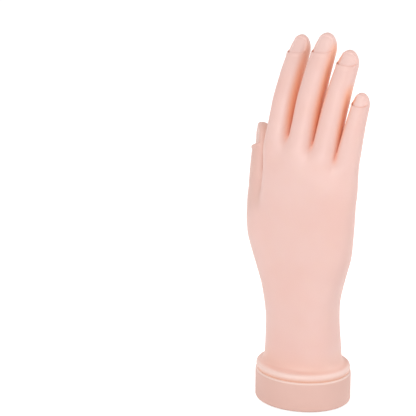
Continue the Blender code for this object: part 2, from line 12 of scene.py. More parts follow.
import bmesh
import bpy
import numpy as np
import openvdb
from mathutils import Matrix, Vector


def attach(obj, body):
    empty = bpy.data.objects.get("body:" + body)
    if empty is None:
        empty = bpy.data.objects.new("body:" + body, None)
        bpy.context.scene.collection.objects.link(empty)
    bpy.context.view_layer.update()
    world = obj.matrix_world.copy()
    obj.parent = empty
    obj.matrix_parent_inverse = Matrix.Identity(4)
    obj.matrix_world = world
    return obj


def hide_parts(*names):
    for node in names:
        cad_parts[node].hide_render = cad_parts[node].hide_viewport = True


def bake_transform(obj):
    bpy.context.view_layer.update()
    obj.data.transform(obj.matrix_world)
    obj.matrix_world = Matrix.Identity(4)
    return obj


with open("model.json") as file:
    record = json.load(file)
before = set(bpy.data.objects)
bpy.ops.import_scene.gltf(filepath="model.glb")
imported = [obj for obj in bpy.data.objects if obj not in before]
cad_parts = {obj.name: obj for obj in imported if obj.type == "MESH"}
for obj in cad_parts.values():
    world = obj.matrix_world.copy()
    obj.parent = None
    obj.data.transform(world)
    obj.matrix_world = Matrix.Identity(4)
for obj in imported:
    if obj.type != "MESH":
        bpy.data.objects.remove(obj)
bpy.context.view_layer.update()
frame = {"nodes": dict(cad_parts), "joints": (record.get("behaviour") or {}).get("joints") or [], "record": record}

MM = 0.001

# Photo's frame and camera
IMAGE_SIZE = 416
FOCAL_PIXELS = 1550
SENSOR_WIDTH = 36.0
CAMERA_PITCH = 15.0
CAMERA_TURN = 32.0
CAMERA_TO_BASE = (62.0, 123.5, 1017.0)

# Skin mesh: the palm's voxels, found first in blocks, and the fingers' rows and columns
VOXEL = 0.8
BLOCK = 4
BAND = 3 * VOXEL
NEAR_BLOCKS = 1.8
BATCH = 100000
SLOPE_STEP = 0.05
LEAST_SLOPE = 0.3
PALM_SETTLINGS = 3
SEAM_SETTLINGS = 8
TABLE_STEP = 0.25
ROW_STEP = 0.6
COLUMNS = 112
SHARP_ANGLE = 60
WELD = 0.001

# Outlines, where a power of 2 is a plain oval and more is squarer, and fingers
ROUND_POWER = 2.0
FINGER_POWER = 2.25
TIP_POWER = 2.0
TIP_LIFT = 0.22
PAD_SWELL = 0.05
CREASE_DEPTH = 0.4
CREASE_WIDTH = 0.8
CREASE_SIDE = (0.35, 0.8)
SEAM_FADE = (4.5, 7.0)
STUB_OVER_SEAM = 1.3
STUB_LONG = 16.0

# Painted shade: warm shade and glow in the gaps between the fingers and the nail slots, and shade on the thumb
TINT_START = -4.0
TINT_STEP = 1.5
GAP_NEAR = 3.0
GAP_FAR = 9.4
GAP_FACING = 0.85
WEB_TINT = 0.55
WEB_TINT_LENGTH = 14.0
# Painted shade in the nail slot under the cuticle
SLOT_SHADE = 0.4
# Painted shade on the thumb: how far it reaches, its share over the whole thumb, and its rise in the valley by the
# palm
THUMB_FAR = 9.0
THUMB_SHADE_SHARE = 0.34
TOWARDS_PALM = np.array((0.98, 0.2, 0.0))
VALLEY_FACING = (-0.1, 0.6)
VALLEY_CLEAR = (0.5, 1.5)

# Nail beds
CUTICLE_LIP = 0.25
NAIL_HOLLOW = 0.4
NAIL_END_CURVE = 2.2
NAIL_SQUARE = 2.8
BED_EDGE = 1.04
BOW_LIMIT = 1.1
BOW_START = 8.0
SLOT_MOUTH = 0.3
BED_SINK = 0.9
NAIL_ROWS = 14
TIP_ROWS = 16
TIP_GAP = 0.004

# Foot flange
SKIN_FOOT = 20.25
FLANGE_HALF = (30.4, 27.4)
FLANGE_TOP = 24.2
FLANGE_ROUND = 3.6
FLANGE_FILLET = 9.0
BEAD_INSET = 1.7
BEAD_HEIGHT = 22.9
BEAD_RADIUS = 1.5
BEAD_FILLET = 5.0
GROOVE_INSET = 0.4
GROOVE_HEIGHT = 1.2


class Nail(NamedTuple):
    """One nail bed: its length, depths at the cuticle and at its end, turn round the finger, half angle
    and tilt, the skin left past its end, its end and side rims, and the bow of its cuticle.
    """

    length: float
    sink: float
    end_sink: float
    turn: float
    half_angle: float
    tilt: float
    end: float
    edge: float
    side: float
    curve: float


class Finger(NamedTuple):
    """One finger over its CAD line: its pieces, how far it stands aside, fans and reaches past the line,
    its widths and depths from root to tip, its nail, the seams between pieces and where each piece turns.
    """

    name: str
    parts: tuple
    axis_sign: int
    shift: float
    fan: float
    reach: float
    widths: tuple
    depths: tuple
    tip_round: float
    nail: Nail
    seams: tuple
    turns: tuple


LONG_PARTS = ("proximal", "middle", "distal")
THUMB_PARTS = ("proximal", "distal")
FINGERS = (
    Finger("index", LONG_PARTS, -1, -0.2, 0.0, 0.0, (17.2, 16.6, 15.4, 14.2), (16.0, 15.0, 13.2, 11.8), 11.5,
           Nail(15.0, 1.1, 0.9, -12, 72, 0.15, 3.6, 1.6, 0.84, 4.0),
           (1.5, 16.8, 34.5), ((1.5, 16.0), (17.5, 31.5), (38.0, 49.5))),
    Finger("middle", LONG_PARTS, -1, 0.4, 0.9, 0.0, (17.4, 17.2, 16.6, 15.2), (16.2, 15.4, 13.6, 12.2), 11.5,
           Nail(15.6, 1.1, 0.9, -12, 72, 0.15, 3.8, 1.6, 0.84, 4.0),
           (1.5, 17.8, 35.8), ((1.5, 17.0), (18.5, 32.5), (39.0, 50.5))),
    Finger("ring", LONG_PARTS, -1, 0.1, 0.2, 0.0, (16.8, 16.2, 15.2, 14.0), (15.6, 14.6, 13.0, 11.6), 10.5,
           Nail(11.8, 1.0, 0.85, -3, 79, 0.15, 3.6, 1.6, 0.84, 3.4),
           (1.5, 15.4, 32.2), ((1.5, 15.0), (15.8, 29.2), (35.2, 46.0))),
    Finger("little", LONG_PARTS, -1, -0.5, 0.0, 0.0, (15.2, 13.8, 12.4, 11.2), (13.4, 12.4, 11.4, 10.2), 8.8,
           Nail(9.4, 0.8, 0.65, -5, 77, 0.15, 3.0, 1.4, 0.84, 3.0),
           (0.8, 10.3, 20.3), ((0.8, 10.2), (10.4, 20.2), (20.4, 27.2))),
    Finger("thumb", THUMB_PARTS, 1, 0.0, 1.4, 1.5, (20.2, 18.8, 16.6), (18.8, 16.6, 13.0), 9.5,
           Nail(15.2, 2.5, 1.6, 0, 66, 0.0, 3.0, 2.4, 0.36, 0.6),
           (6.0, 13.2), ((6.0, 13.0), (13.4, 23.0))),
)


class PalmSection(NamedTuple):
    """One outline of the wrist or palm: its height, middle and half sizes."""

    z: float
    x: float
    y: float
    half_width: float
    half_depth: float


PALM_SECTIONS = (
    PalmSection(20.5, 0.0, -0.1, 25.9, 20.4),
    PalmSection(34.0, 0.0, -0.3, 25.3, 19.4),
    PalmSection(55.0, -0.3, -1.0, 24.3, 18.0),
    PalmSection(69.0, -0.7, -1.6, 25.3, 17.6),
    PalmSection(83.0, -0.4, -1.0, 28.2, 17.0),
    PalmSection(98.5, 2.2, -1.0, 30.2, 16.4),
    PalmSection(122.0, 2.2, -1.8, 32.3, 15.0),
    PalmSection(131.0, 2.4, -2.2, 32.8, 14.2),
    PalmSection(140.0, 3.1, -2.6, 32.7, 13.4),
    PalmSection(149.0, 5.0, -2.4, 31.3, 12.6),
    PalmSection(158.0, 4.8, -1.2, 30.2, 11.0),
    PalmSection(165.0, 4.9, 0.2, 29.7, 9.6),
    PalmSection(175.0, 5.0, 2.0, 29.2, 8.0),
)
PALM_POWER = 2.3
PALM_SMOOTHING = 4.0
# The palm's top: its height by place across, which falls towards the little finger
WEB_LINE = ((-30.0, 172.0), (-11.5, 171.5), (5.7, 167.8), (22.0, 160.5), (32.0, 156.5), (40.0, 156.0))
WEB_SPAN = (-60.0, 60.0)
WEB_SMOOTHING = 4.0
WEB_SLOPE = (118.0, 160.0)
WEB_HEIGHT = 164.0
WEB_ROUND = 11.0
WEB_FILLET = 7.5

# The ball of the thumb, as outlines by height
THENAR = (
    PalmSection(50.0, -7.0, 0.0, 9.0, 9.0),
    PalmSection(62.0, -9.0, 1.0, 11.0, 11.0),
    PalmSection(76.0, -13.6, 2.0, 13.4, 13.4),
    PalmSection(92.0, -21.4, 3.2, 15.0, 15.0),
    PalmSection(106.0, -27.0, 3.4, 14.6, 14.6),
    PalmSection(116.0, -30.6, 3.7, 13.0, 13.0),
    PalmSection(122.0, -32.3, 4.0, 11.6, 11.6),
    PalmSection(128.0, -33.9, 5.1, 9.8, 9.8),
    PalmSection(134.0, -35.3, 7.0, 8.8, 8.8),
)
THENAR_TOP = 133.0
THENAR_ROUND = 6.0
THENAR_FILLET = (9.0, 13.0)
THENAR_FILLET_HEIGHTS = (112.0, 136.0)
THUMB_FILLET = 4.0
# The pads of the palm: chains of balls, as centres and radii
THENAR_PAD = ((-20.0, 9.0, 108.0, 11.5), (-13.5, 8.5, 90.0, 12.0))
HEEL_PAD = ((17.5, 5.5, 118.0, 9.6), (10.0, 6.0, 84.0, 10.2))
KNUCKLE_PAD = ((-14.0, 3.5, 152.0, 8.6), (21.0, 2.5, 147.0, 8.2))
BACK_PAD = ((-27.5, -0.5, 121.0, 8.0), (-25.5, -0.6, 108.0, 9.8), (-19.0, -0.6, 90.0, 10.0))
PAD_FILLET = 10.0

# Lines of the palm: places as (x, z) on its palm side
PALM_LINES = (
    ((34.0, 139.0), (24.0, 140.0), (10.0, 145.0), (-2.0, 151.0), (-8.0, 157.0)),
    ((-28.0, 141.0), (-18.0, 140.0), (-4.0, 134.0), (10.0, 127.0), (24.0, 121.0)),
    ((-27.0, 138.5), (-16.0, 134.0), (-6.0, 124.0), (-1.0, 110.0), (-2.0, 94.0), (-6.0, 82.0)),
    ((-20.0, 62.0), (-8.0, 59.5), (6.0, 59.5), (19.0, 62.0)),
)
LINE_SIDE = 3.0
LINE_DEPTH = 0.65
LINE_WIDTH = 1.0


def smoothstep(low, high, value):
    """0 below low, 1 above high, and smooth between them."""
    t = np.clip((value - low) / (high - low), 0.0, 1.0)
    return t * t * (3 - 2 * t)


def smooth_min(a, b, fillet):
    """The nearer of two distances, with a fillet where they meet."""
    h = np.maximum(fillet - np.abs(a - b), 0.0) / fillet
    return np.minimum(a, b) - h * h * h * fillet / 6


def smooth_max(a, b, fillet):
    """The farther of two distances, with a rounded edge where they meet."""
    return -smooth_min(-a, -b, fillet)


def smooth_table(places, values, low, high, spread):
    """Values between given places, rounded off over a spread, as an even table to look up."""
    grid = np.arange(low, high + TABLE_STEP, TABLE_STEP)
    reach = np.arange(-3 * spread, 3 * spread + TABLE_STEP, TABLE_STEP)
    weights = np.exp(-0.5 * (reach / spread) ** 2)
    straight = np.interp(grid[:, None] + reach[None, :], places, values)
    return grid, straight @ (weights / weights.sum())


def unit(vector):
    """The vector at length 1."""
    return vector / np.linalg.norm(vector)


def oval_distance(a, b, half_a, half_b, power):
    """How far points lie outside a squared oval, in its own plane."""
    u, v = np.abs(a) / half_a, np.abs(b) / half_b
    rho = np.maximum((u ** power + v ** power) ** (1 / power), 0.05)
    slope = rho ** (1 - power) * np.hypot(u ** (power - 1) / half_a, v ** (power - 1) / half_b)
    return (rho - 1) / np.maximum(slope, 1e-3)


# Finger lines


class FingerLine:
    """A finger's smooth line: places, directions and sizes at any length along it from the root bend."""

    START = -26.0
    STEP = 0.25
    BEND_ROUND = 6.0
    SIZE_SMOOTHING = 2.5
    SWELL_START = (2.0, 8.0)
    TIP_SPOT = 1.6
    STUB_REACH = 48.0
    STUB_LEAN = 0.02
    STUB_LEAN_START = -6.0
    STUB_SHRINK = 0.25
    STUB_SHRINK_START = 4.0
    STUB_FOOT = 4.0
    STUB_ROUND = 2.0

    def __init__(self, finger):
        joints = {joint["child"]: joint for joint in frame["joints"]}
        own = [joints[f"{finger.name}_{part}"] for part in finger.parts]
        bends = [np.array(joint["pos_m"]) / MM for joint in own]
        bends.append(self.fingertip(finger, bends[-1]))
        lengths = [np.linalg.norm(b - a) for a, b in zip(bends, bends[1:])]
        directions = [(b - a) / length for a, b, length in zip(bends, bends[1:], lengths)]
        self.finger = finger
        self.side = unit(np.array(own[0]["axis"]) * finger.axis_sign)
        self.bends = np.concatenate([[0.0], np.cumsum(lengths)])
        self.total = self.bends[-1]
        self.grid = np.arange(self.START, self.total + self.STEP, self.STEP)
        along = np.tile(directions[0], (len(self.grid), 1))
        for bend, before, after in zip(self.bends[1:], directions, directions[1:]):
            share = smoothstep(bend - self.BEND_ROUND, bend + self.BEND_ROUND, self.grid)[:, None]
            along = along + (after - before) * share
        self.along = along / np.linalg.norm(along, axis=1, keepdims=True)
        steps = np.cumsum(self.along, axis=0) * self.STEP
        origin = np.argmin(np.abs(self.grid))
        aside = finger.shift + math.tan(math.radians(finger.fan)) * np.maximum(self.grid, 0)
        self.places = bends[0] + steps - steps[origin] + aside[:, None] * self.side
        knots = np.array([self.START, *self.bends[:-1], self.total - finger.tip_round])
        self.half_width = self.size_table(knots, finger.widths)
        self.half_depth = self.size_table(knots, finger.depths)

    def fingertip(self, finger, last_bend):
        """The middle of the CAD fingertip's end."""
        mesh = frame["nodes"][f"{finger.name}_distal_skin"].data
        points = np.array([vertex.co for vertex in mesh.vertices]) / MM
        far = points[np.argmax(np.linalg.norm(points - last_bend, axis=1))]
        tip = points[np.linalg.norm(points - far, axis=1) < self.TIP_SPOT].mean(axis=0)
        return tip + unit(tip - last_bend) * finger.reach

    def size_table(self, knots, sizes):
        """Half sizes along the line."""
        halves = np.array([sizes[0], *sizes]) / 2
        return smooth_table(knots, halves, self.START, self.total + 2, self.SIZE_SMOOTHING)

    def at(self, s, table):
        """Rows of a table at lengths along the line."""
        return np.stack([np.interp(s, self.grid, table[:, i]) for i in range(3)], axis=-1)

    def frame_at(self, s):
        """Place, direction and palm side at lengths along the line."""
        along = self.at(s, self.along)
        along = along / np.linalg.norm(along, axis=-1, keepdims=True)
        return self.at(s, self.places), along, np.cross(along, self.side)

    def sizes_at(self, s):
        """Half width, and half depth towards the palm and towards the back."""
        width = np.interp(s, *self.half_width)
        depth = np.interp(s, *self.half_depth)
        swell = np.zeros_like(np.asarray(s, dtype=float))
        for low, high in zip(self.bends, self.bends[1:]):
            inside = np.clip((s - low) / (high - low), 0, 1)
            swell = swell + np.sin(math.pi * inside) ** 2
        swell = swell * smoothstep(*self.SWELL_START, s)
        return width, depth * (1 + PAD_SWELL * swell), depth

    def stub_distance(self, points, stub_end):
        """How far points lie outside the straight run of the finger about its root, up to a length."""
        place, along, palm = self.frame_at(np.array(0.0))
        local = points - place
        s = local @ along
        far = np.linalg.norm(local, axis=1) > self.STUB_REACH
        if far.any():
            distance = np.full(len(points), self.STUB_REACH)
            if not far.all():
                distance[~far] = self.stub_distance(points[~far], stub_end)
            return distance
        width, palm_depth, back_depth = self.sizes_at(np.clip(s, self.START, self.bends[1]))
        b = local @ palm - self.STUB_LEAN * np.maximum(self.STUB_LEAN_START - s, 0) ** 2
        depth = np.where(b > 0, palm_depth, back_depth)
        shrink = 1 - self.STUB_SHRINK * smoothstep(self.STUB_SHRINK_START, -self.START, -s)
        tube = oval_distance(local @ self.side, b, width * shrink, depth * shrink, FINGER_POWER)
        ends = np.maximum(self.START + self.STUB_FOOT - s, s - stub_end)
        return smooth_max(tube, ends, self.STUB_ROUND)


LINES = {finger.name: FingerLine(finger) for finger in FINGERS}


# Palm field

FIELD_LOW = np.array((-56.0, -34.0, SKIN_FOOT - 3))
FIELD_HIGH = np.array((46.0, 34.0, 192.0))


def section_tables(sections):
    """Smooth tables of outlines by height: middle and half sizes."""
    heights = [section.z for section in sections]
    return [smooth_table(heights, values, heights[0] - 10, heights[-1] + 10, PALM_SMOOTHING)
            for values in list(zip(*sections))[1:]]


PALM_TABLES = section_tables(PALM_SECTIONS)
THENAR_TABLES = section_tables(THENAR)
WEB_TABLE = smooth_table(*zip(*WEB_LINE), *WEB_SPAN, WEB_SMOOTHING)


def chain_distance(points, chain):
    """How far points lie outside a chain of balls joined by cones."""
    best = np.full(len(points), 1e6)
    for start, end in zip(chain, chain[1:]):
        a, b = np.array(start[:3]), np.array(end[:3])
        run = b - a
        t = np.clip((points - a) @ run / (run @ run), 0, 1)
        away = np.linalg.norm(points - a - t[:, None] * run, axis=1)
        best = np.minimum(best, away - (start[3] + (end[3] - start[3]) * t))
    return best


def palm_distance(points):
    """How far points lie outside the palm, the wrist and the foot flange."""
    x, y, z = points.T
    level = z + smoothstep(*WEB_SLOPE, z) * (WEB_HEIGHT - np.interp(x, *WEB_TABLE))
    middle_x, middle_y, half_width, half_depth = (np.interp(level, *table) for table in PALM_TABLES)
    body = oval_distance(x - middle_x, y - middle_y, half_width, half_depth, PALM_POWER)
    body = smooth_max(body, level - WEB_HEIGHT, WEB_ROUND)
    rim = oval_distance(x, y, *FLANGE_HALF, ROUND_POWER)
    groove = GROOVE_INSET * (1 - smoothstep(SKIN_FOOT, SKIN_FOOT + GROOVE_HEIGHT, z))
    flange = smooth_max(rim + groove, z - FLANGE_TOP, FLANGE_ROUND)
    bead = np.hypot(rim + BEAD_INSET, z - BEAD_HEIGHT) - BEAD_RADIUS
    return smooth_min(body, smooth_min(flange, bead, BEAD_FILLET), FLANGE_FILLET)


def line_depth(points):
    """How deep the palm's lines are pressed in at points."""
    depth = np.zeros(len(points))
    palm_side = points[:, 1] > LINE_SIDE
    flat = points[palm_side][:, (0, 2)]
    nearest = np.full(len(flat), 1e3)
    for line in PALM_LINES:
        for start, end in zip(line, line[1:]):
            a, run = np.array(start), np.subtract(end, start)
            t = np.clip((flat - a) @ run / (run @ run), 0, 1)
            nearest = np.minimum(nearest, np.linalg.norm(flat - a - t[:, None] * run, axis=1))
    depth[palm_side] = LINE_DEPTH * np.exp(-(nearest / LINE_WIDTH) ** 2)
    return depth


def hand_distance(points, long_stubs=False):
    """How far points lie outside the skin below the fingers' seams, or a good way above them."""
    stubs = []
    for finger in FINGERS:
        stub_end = STUB_LONG if long_stubs else finger.seams[0] + STUB_OVER_SEAM
        stubs.append(LINES[finger.name].stub_distance(points, stub_end))
    hand = palm_distance(points)
    for pad in (THENAR_PAD, HEEL_PAD, KNUCKLE_PAD, BACK_PAD):
        hand = smooth_min(hand, chain_distance(points, pad), PAD_FILLET)
    x, y, z = points.T
    middle_x, middle_y, half_width, half_depth = (np.interp(z, *table) for table in THENAR_TABLES)
    ball = oval_distance(x - middle_x, y - middle_y, half_width, half_depth, ROUND_POWER)
    ball = smooth_max(ball, z - THENAR_TOP, THENAR_ROUND)
    thumb = smooth_min(ball, stubs[-1], THUMB_FILLET)
    high_fillet, low_fillet = THENAR_FILLET
    low_share = 1 - smoothstep(*THENAR_FILLET_HEIGHTS, z)
    hand = smooth_min(hand, thumb, high_fillet + (low_fillet - high_fillet) * low_share)
    return smooth_min(hand, np.min(stubs[:-1], axis=0), WEB_FILLET) + line_depth(points)


def settle(points, times, along=None):
    """Points moved on to the field's zero surface. Finger rows keep to planes across a direction."""
    in_plane = along is not None
    shifts = np.eye(3) * SLOPE_STEP
    for _ in range(times):
        here = hand_distance(points, in_plane)
        rises = [hand_distance(points + shift, in_plane) - here for shift in shifts]
        slope = np.stack(rises, axis=1) / SLOPE_STEP
        if in_plane:
            slope = slope - along * (slope * along).sum(axis=1, keepdims=True)
        step = here / np.maximum((slope ** 2).sum(axis=1), LEAST_SLOPE)
        points = points - slope * np.clip(step, -VOXEL / 2, VOXEL / 2)[:, None]
    return points


def grid_points(low, step, counts):
    """Every point of a grid, as rows."""
    axes = [low[i] + step * np.arange(counts[i]) for i in range(3)]
    return np.stack(np.meshgrid(*axes, indexing="ij"), axis=-1).reshape(-1, 3)


def field_values(points):
    """The field at many points, a batch at a time."""
    batches = np.array_split(points, 1 + len(points) // BATCH)
    return np.concatenate([hand_distance(batch) for batch in batches])


def hand_surface():
    """Points and quads of the field's zero surface. Blocks far from it are not worked out point by point."""
    blocks = np.ceil((FIELD_HIGH - FIELD_LOW) / VOXEL / BLOCK).astype(int)
    middles = grid_points(FIELD_LOW + VOXEL * (BLOCK - 1) / 2, VOXEL * BLOCK, blocks)
    coarse = field_values(middles).reshape(blocks)
    for axis in range(3):
        coarse = coarse.repeat(BLOCK, axis=axis)
    values = np.where(coarse > 0, BAND, -BAND)
    near = np.abs(coarse) < BLOCK * VOXEL * NEAR_BLOCKS + BAND
    corners = grid_points(FIELD_LOW, VOXEL, values.shape)
    values[near] = np.clip(field_values(corners[near.ravel()]), -BAND, BAND)
    grid = openvdb.FloatGrid(BAND)
    grid.copyFromArray(values.astype(np.float32))
    points, quads = grid.convertToQuads(0.0)
    return settle(FIELD_LOW + VOXEL * points.astype(float), PALM_SETTLINGS), quads


# Meshes


def add_piece(name, bm, surface):
    """A smooth piece from a mesh in millimetres."""
    bmesh.ops.recalc_face_normals(bm, faces=bm.faces)
    bmesh.ops.scale(bm, vec=(MM, MM, MM), verts=bm.verts)
    mesh = bpy.data.meshes.new(name)
    bm.to_mesh(mesh)
    bm.free()
    mesh.shade_smooth()
    mesh.set_sharp_from_angle(angle=math.radians(SHARP_ANGLE))
    mesh.materials.append(surface)
    piece = bpy.data.objects.new(name, mesh)
    bpy.context.scene.collection.objects.link(piece)
    return piece


def cut_off(bm, place, outward):
    """Takes away what lies outside a plane."""
    whole = bm.verts[:] + bm.edges[:] + bm.faces[:]
    bmesh.ops.bisect_plane(bm, geom=whole, plane_co=place, plane_no=outward, clear_outer=True)


def close_holes(bm):
    """A flat face over every open rim."""
    rims = [edge for edge in bm.edges if edge.is_boundary]
    bmesh.ops.holes_fill(bm, edges=rims, sides=0)


def join_rings(bm, low, high):
    """Quads between two rings of as many points."""
    for i in range(len(low)):
        j = (i + 1) % len(low)
        bm.faces.new((low[i], low[j], high[j], high[i]))


def tube_mesh(rows, shares):
    """A closed mesh over rows of rings, with a share of each kind at every point."""
    bm = bmesh.new()
    layers = {name: bm.verts.layers.float.new(name) for name in shares}
    rings = [[bm.verts.new(point) for point in row] for row in rows]
    for name, layer in layers.items():
        for ring, values in zip(rings, shares[name].tolist()):
            for vertex, value in zip(ring, values):
                vertex[layer] = value
    for low, high in zip(rings, rings[1:]):
        join_rings(bm, low, high)
    bm.faces.new(rings[0])
    bm.faces.new(rings[-1])
    return bm


def nearest_on_fingers(points):
    """For each finger: how far points lie off its skin, and the nearest places and lengths on its line."""
    aways, places, lengths = [], [], []
    for finger in FINGERS:
        line = LINES[finger.name]
        s = np.arange(TINT_START, line.total + TINT_START, TINT_STEP)
        spots, radii = line.frame_at(s)[0], line.sizes_at(s)[0]
        away = np.linalg.norm(points[:, None, :] - spots[None, :, :], axis=2) - radii
        best = away.argmin(axis=1)
        aways.append(away[np.arange(len(points)), best])
        places.append(spots[best])
        lengths.append(s[best])
    return np.array(aways), np.array(places), np.array(lengths)


def painted_shade_shares(points):
    """Shares of the painted warm shade and glow between two fingers, and of the painted shade on the thumb, at
    points.
    """
    aways, places, lengths = nearest_on_fingers(points)
    every = np.arange(len(points))
    own, other = np.argsort(aways[:-1], axis=0)[:2]
    outward, across = points - places[own, every], places[other, every] - points
    facing = (outward * across).sum(axis=1)
    facing = facing / np.linalg.norm(outward, axis=1) / np.linalg.norm(across, axis=1)
    near = 1 - smoothstep(GAP_NEAR, GAP_FAR, aways[other, every])
    length = (lengths[own, every] + lengths[other, every]) / 2
    above_web = WEB_TINT + (1 - WEB_TINT) * smoothstep(0.0, WEB_TINT_LENGTH, length)
    gap = near * smoothstep(0.0, GAP_FACING, facing) * above_web
    outward = points - places[-1]
    towards = outward @ TOWARDS_PALM / np.linalg.norm(outward, axis=1)
    valley = smoothstep(*VALLEY_FACING, towards) * smoothstep(*VALLEY_CLEAR, palm_distance(points))
    dusk = (1 - smoothstep(0.0, THUMB_FAR, aways[-1])) * (THUMB_SHADE_SHARE + (1 - THUMB_SHADE_SHARE) * valley)
    return gap, dusk


def palm_mesh():
    """The palm's surface, cut at the foot. Its stubs end a little way inside the fingers."""
    points, quads = hand_surface()
    mesh = bpy.data.meshes.new("palm")
    mesh.from_pydata(points.tolist(), [], quads.tolist())
    bm = bmesh.new()
    bm.from_mesh(mesh)
    bpy.data.meshes.remove(mesh)
    cut_off(bm, (0, 0, SKIN_FOOT), (0, 0, -1))
    bmesh.ops.delete(bm, geom=[vertex for vertex in bm.verts if not vertex.link_faces], context='VERTS')
    close_holes(bm)
    places = np.array([vertex.co for vertex in bm.verts])
    # Painted warm shade in the gaps and painted shade on the thumb, held at the points
    for name, shares in zip(("gap", "dusk"), painted_shade_shares(places)):
        layer = bm.verts.layers.float.new(name)
        for vertex, share in zip(bm.verts, shares.tolist()):
            vertex[layer] = share
    return bm


def finger_rows(line, s, angle, sink):
    """Places on the finger's skin at lengths and angles, sunk in by a depth. Arrays of rings by columns."""
    finger = line.finger
    place, _, palm = line.frame_at(s)
    width, palm_depth, back_depth = line.sizes_at(s)
    t = np.clip((s - line.total) / finger.tip_round + 1, 0, 1)
    round_off = (1 - t ** TIP_POWER) ** (1 / TIP_POWER)
    cos, sin = np.cos(angle), np.sin(angle)
    a = np.sign(cos) * np.abs(cos) ** (2 / FINGER_POWER) * width * round_off
    depth = np.where(sin > 0, palm_depth, back_depth)
    b = np.sign(sin) * np.abs(sin) ** (2 / FINGER_POWER) * depth * round_off
    groove = np.zeros_like(s)
    for bend in line.bends[1:-1]:
        groove = groove + np.exp(-((s - bend) / CREASE_WIDTH) ** 2)
    inward = sink + CREASE_DEPTH * groove * smoothstep(*CREASE_SIDE, sin)
    keep = 1 - inward / np.maximum(np.hypot(a, b), 1.0)
    lift = -TIP_LIFT * back_depth * (1 - round_off)
    return place + line.side * (a * keep)[..., None] + palm * (b * keep + lift)[..., None]


def plain_rows(line, low, high):
    """Rings of plain skin between two lengths."""
    count = max(2, round((high - low) / ROW_STEP))
    s = np.linspace(low, high, count + 1)[:, None] * np.ones(COLUMNS)
    angle = np.ones_like(s) * np.linspace(0, 2 * math.pi, COLUMNS, endpoint=False)
    rows = finger_rows(line, s, angle, np.zeros_like(s))
    if low == line.finger.seams[0]:
        share = (1 - smoothstep(low + SEAM_FADE[0], low + SEAM_FADE[1], s))[..., None]
        along = line.frame_at(s)[1].reshape(-1, 3)
        settled = settle(rows.reshape(-1, 3), SEAM_SETTLINGS, along).reshape(rows.shape)
        rows = rows + (settled - rows) * share
    return rows, np.zeros_like(s), np.zeros_like(s)


# Rows over the cuticle: length from its edge, share of the nail's sink, and that length beside the nail.
# They rise over a lip, run back into the slot below it and come out along the slot's floor.
CUTICLE_ROWS = (
    (-2.4, -0.30, -2.4), (-1.5, -0.80, -1.6), (-0.8, -1.00, -1.0), (-0.3, -0.85, -0.6),
    (-0.06, -0.35, -0.35), (0.0, 0.15, -0.2), (-0.12, 0.40, -0.1), (-1.1, 0.50, 0.0),
    (-2.0, 0.56, 0.1), (-2.2, 0.80, 0.2), (-1.9, 0.99, 0.3), (-1.0, 1.01, 0.4), (0.0, 1.00, 0.55),
    (0.6, 0.99, 0.8),
)
# Rows over the rim at the nail's end: share of the rim's length and share of the sink that is left
END_ROWS = ((0.12, 0.97), (0.3, 0.8), (0.5, 0.5), (0.7, 0.2), (0.88, 0.03), (1.0, 0.0))


def tip_rows(line, low):
    """Rings from a length to the fingertip, with the nail bed and the slot under its cuticle."""
    nail = line.finger.nail
    angle = np.linspace(0, 2 * math.pi, COLUMNS, endpoint=False)
    turn = angle + math.pi / 2 - math.radians(nail.turn)
    aside = ((turn + math.pi) % (2 * math.pi) - math.pi) / math.radians(nail.half_angle)
    across = np.abs(aside)
    bed = 1 - smoothstep(nail.side, BED_EDGE, across)
    none = np.zeros_like(bed)
    sunk = bed * (1 - nail.tilt * np.clip(aside, -1, 1))
    bow = np.minimum(across, BOW_LIMIT) ** NAIL_SQUARE
    cuticle = line.total - nail.length + nail.curve * bow
    nail_end = line.total - nail.end - NAIL_END_CURVE * bow
    nail_run = nail_end - cuticle - CUTICLE_ROWS[-1][0]
    first = line.total - nail.length + CUTICLE_ROWS[0][0]
    # Each row holds lengths, depths, the share of nail bed and the share of slot
    rows = []
    for s in np.arange(low, first - ROW_STEP / 2, ROW_STEP):
        bowed = s + smoothstep(first - BOW_START, first, s) * nail.curve * bow
        rows.append((bowed, none, none, none))
    for near, sink, away in CUTICLE_ROWS:
        depth = nail.sink * (sink if sink > 0 else CUTICLE_LIP * sink)
        lengths = cuticle + near * bed + away * (1 - bed)
        in_slot = bed * (sink > 0 and near < SLOT_MOUTH)
        rows.append((lengths, sunk * depth, bed * (sink > BED_SINK), in_slot))
    for t in np.linspace(0, 1, NAIL_ROWS + 1)[1:]:
        hollow = NAIL_HOLLOW * nail.sink * math.sin(math.pi * t) ** 2
        depth = nail.sink + (nail.end_sink - nail.sink) * t + hollow
        rows.append((cuticle + CUTICLE_ROWS[-1][0] + nail_run * t, sunk * depth, bed, bed * (1 - bed)))
    for t, keep in END_ROWS:
        rows.append((nail_end + nail.edge * t, sunk * nail.end_sink * keep, bed * keep, none))
    edge = nail_end + nail.edge
    for t in np.sin(np.linspace(0, math.pi / 2, TIP_ROWS + 1))[1:]:
        rows.append((edge + (line.total - TIP_GAP - edge) * t, none, none, none))
    s, sinks, beds, slots = (np.array(part) for part in zip(*rows))
    return finger_rows(line, s, np.ones_like(s) * angle, sinks), beds, slots


def add_fingers(surface):
    """Every finger's pieces, each across one bend and standing for the CAD length above it."""
    for finger in FINGERS:
        line = LINES[finger.name]
        for i, part in enumerate(finger.parts):
            last = i + 1 == len(finger.parts)
            ends = finger.seams[i:i + 2]
            rows, nail, slot = tip_rows(line, *ends) if last else plain_rows(line, *ends)
            # Painted warm shade in the gaps and nail slots, and painted shade on the thumb, held at the points
            gap, dusk = (shares.reshape(nail.shape) for shares in painted_shade_shares(rows.reshape(-1, 3)))
            bm = tube_mesh(rows, {"nail": nail, "gap": np.maximum(gap, SLOT_SHADE * slot), "dusk": dusk})
            piece = add_piece(f"{finger.name}_{part}_soft_skin", bm, surface)
            body = f"{finger.name}_{part}"
            bend_across(piece, line, i)
            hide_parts(body + "_skin")


